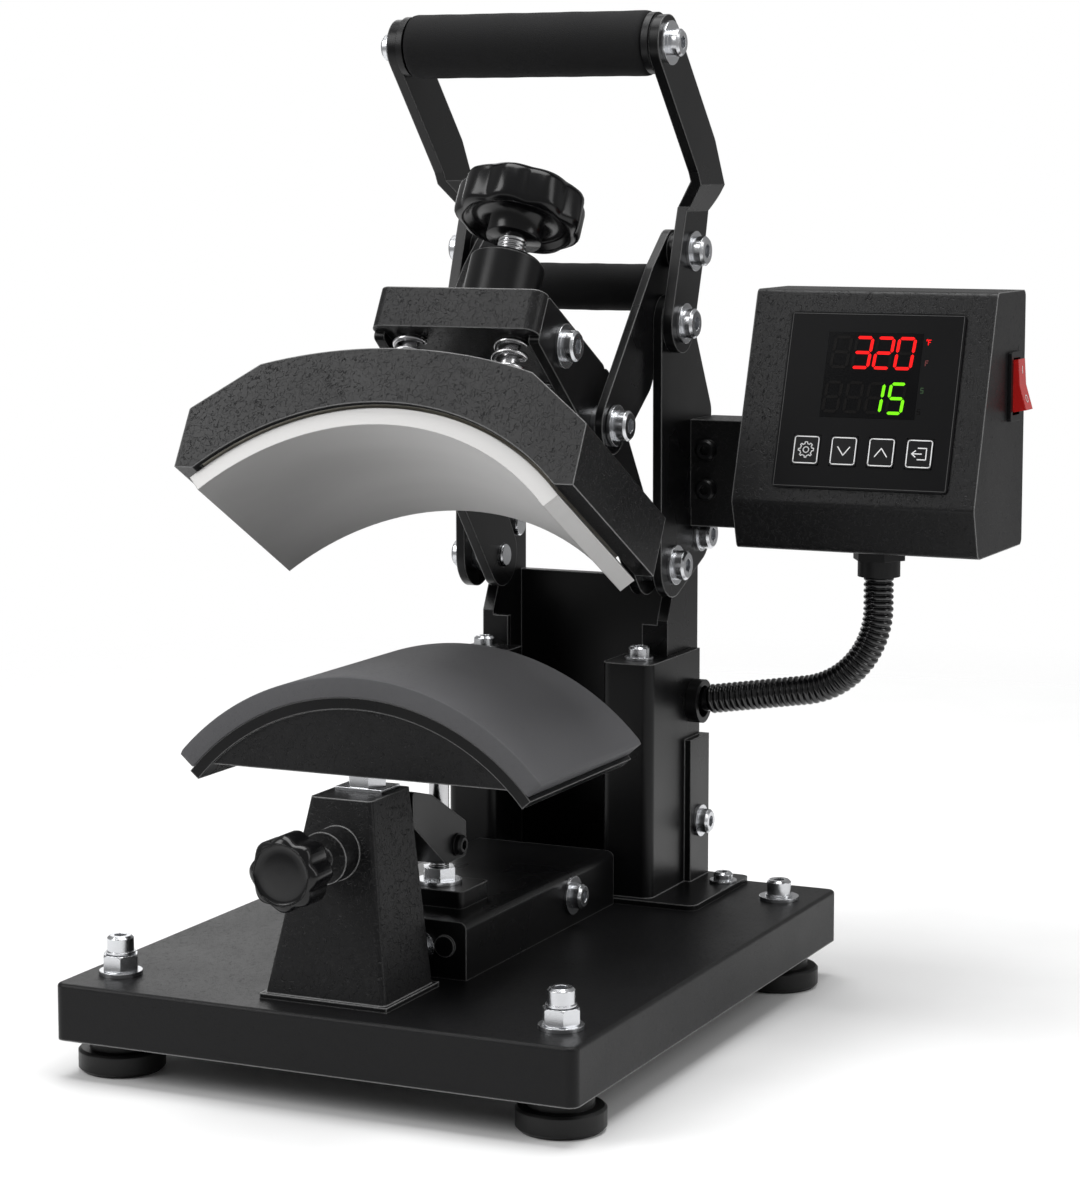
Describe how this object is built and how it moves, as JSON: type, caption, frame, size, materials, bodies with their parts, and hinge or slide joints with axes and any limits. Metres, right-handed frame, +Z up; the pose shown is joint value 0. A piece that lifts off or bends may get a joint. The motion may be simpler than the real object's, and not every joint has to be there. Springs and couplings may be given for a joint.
{
  "type": "cap heat press",
  "caption": "Benchtop heat press with a curved heated platen that swings down on a curved silicone pad, worked by a lever, with a control box on a bracket.",
  "frame": {"origin": "centre of the bounding box, at the soles of the feet", "axes": "+Z up, -Y towards the operator, +X towards the control box"},
  "size_m": [0.3034, 0.313, 0.4121],
  "materials": {
    "black_coat": "wrinkle powder coat",
    "black_satin": "satin powder coat",
    "bright_bolt": "bright zinc",
    "steel": "ground steel",
    "heater": "brushed",
    "blanket": "glass fibre felt",
    "element": "mica and foil element",
    "spring_steel": "bright spring wire",
    "foam": "matte foam",
    "rubber": "matte",
    "silicone": "grey silicone",
    "knob": "gloss",
    "plastic": "satin",
    "panel": "printed overlay",
    "window": "smoked",
    "key": "printed key",
    "red": "gloss",
    "board": "circuit board"
  },
  "bodies": {
    "stand": {"base_plate": "black_coat", "box_screws": "plastic", "circuit_board": "board", "conduit": "knob", "conduit_fittings": "plastic", "conduit_gland": "plastic", "control_back": "black_satin", "control_bracket": "black_coat", "control_shell": "black_coat", "display_window": "window", "foot_screws": "bright_bolt", "frame_screws": "bright_bolt", "front_post": "black_coat", "guide_rod": "steel", "mast_channel": "black_satin", "membrane_panel": "panel", "pad_channel": "black_satin", "pad_nuts": "bright_bolt", "pad_stem": "steel", "pad_support": "black_satin", "pad_web": "black_coat", "rod_seat": "black_satin", "rod_strap": "black_satin", "rubber_feet": "rubber", "side_covers": "black_satin", "silicone_pad": "silicone", "switch_frame": "plastic", "tower_bolts": "bright_bolt", "tower_cheeks": "black_satin"},
    "arm": {"press_arms": "black_satin", "arm_bolts": "bright_bolt", "bridge_block": "black_coat", "pressure_boss": "black_satin", "springs": "spring_steel"},
    "platen": {"platen_shell": "black_coat", "heating_plate": "heater", "heating_element": "element", "insulation": "blanket", "thrust_collar": "black_satin", "spring_guides": "steel"},
    "press_screw": {"pressure_screw": "steel", "pressure_knob": "knob"},
    "link": {"link_plates": "black_satin", "link_bar": "steel", "link_sleeve": "foam"},
    "handle": {"levers": "black_satin", "lever_bolts": "bright_bolt", "handle_tube": "steel", "foam_grip": "foam", "grip_collars": "plastic"},
    "clamp": {"clamp_screw": "steel", "clamp_knob": "knob"},
    "rocker": {"rocker": "red"},
    "key_1": {"key_1": "key"},
    "key_2": {"key_2": "key"},
    "key_3": {"key_3": "key"},
    "key_4": {"key_4": "key"}
  },
  "joints": [
    {"name": "arm_hinge", "type": "hinge", "parent": "stand", "child": "arm", "pos_m": [-0.04069, 0.1006, 0.1804], "axis": [1, 0, 0], "range_deg": [0, 29.2]},
    {"name": "handle_pivot", "type": "hinge", "parent": "stand", "child": "handle", "pos_m": [-0.04069, 0.098, 0.2834], "axis": [1, 0, 0], "range_deg": [0, 52.1]},
    {"name": "link_pivot", "type": "hinge", "parent": "arm", "child": "link", "pos_m": [-0.04069, 0.04568, 0.24386], "axis": [1, 0, 0], "range_deg": [-17.6, 0]},
    {"name": "platen_feed", "type": "slide", "parent": "arm", "child": "platen", "axis": [0, 0.4879, 0.8729], "range_m": [0, 0.0035], "deforming": ["springs"]},
    {"name": "pressure_knob_turn", "type": "hinge", "parent": "platen", "child": "press_screw", "pos_m": [-0.04069, 0.02527, 0.28769], "axis": [0, 0.4879, 0.8729], "range_deg": [0, 720.5]},
    {"name": "clamp_turn", "type": "hinge", "parent": "stand", "child": "clamp", "pos_m": [-0.04069, -0.1435, 0.0933], "axis": [0, -1, 0], "range_deg": [0, 360]},
    {"name": "power_rocker", "type": "hinge", "parent": "stand", "child": "rocker", "pos_m": [0.14431, 0.1375, 0.2583], "axis": [0, 1, 0], "range_deg": [0, 20]},
    {"name": "key_press_1", "type": "slide", "parent": "stand", "child": "key_1", "axis": [0, 0.9487, -0.3162], "range_m": [0, 0.00035], "stiffness_N_per_m": 600, "springref_m": -0.00005},
    {"name": "key_press_2", "type": "slide", "parent": "stand", "child": "key_2", "axis": [0, 0.9487, -0.3162], "range_m": [0, 0.00035], "stiffness_N_per_m": 600, "springref_m": -0.00005},
    {"name": "key_press_3", "type": "slide", "parent": "stand", "child": "key_3", "axis": [0, 0.9487, -0.3162], "range_m": [0, 0.00035], "stiffness_N_per_m": 600, "springref_m": -0.00005},
    {"name": "key_press_4", "type": "slide", "parent": "stand", "child": "key_4", "axis": [0, 0.9487, -0.3162], "range_m": [0, 0.00035], "stiffness_N_per_m": 600, "springref_m": -0.00005}
  ],
  "couplings": [
    {"joint": "handle_pivot", "follows": "arm_hinge", "ratio": 1.7808},
    {"joint": "link_pivot", "follows": "arm_hinge", "ratio": -0.599},
    {"joint": "pressure_knob_turn", "follows": "platen_feed", "rad_per_m": 3590.4}
  ]
}
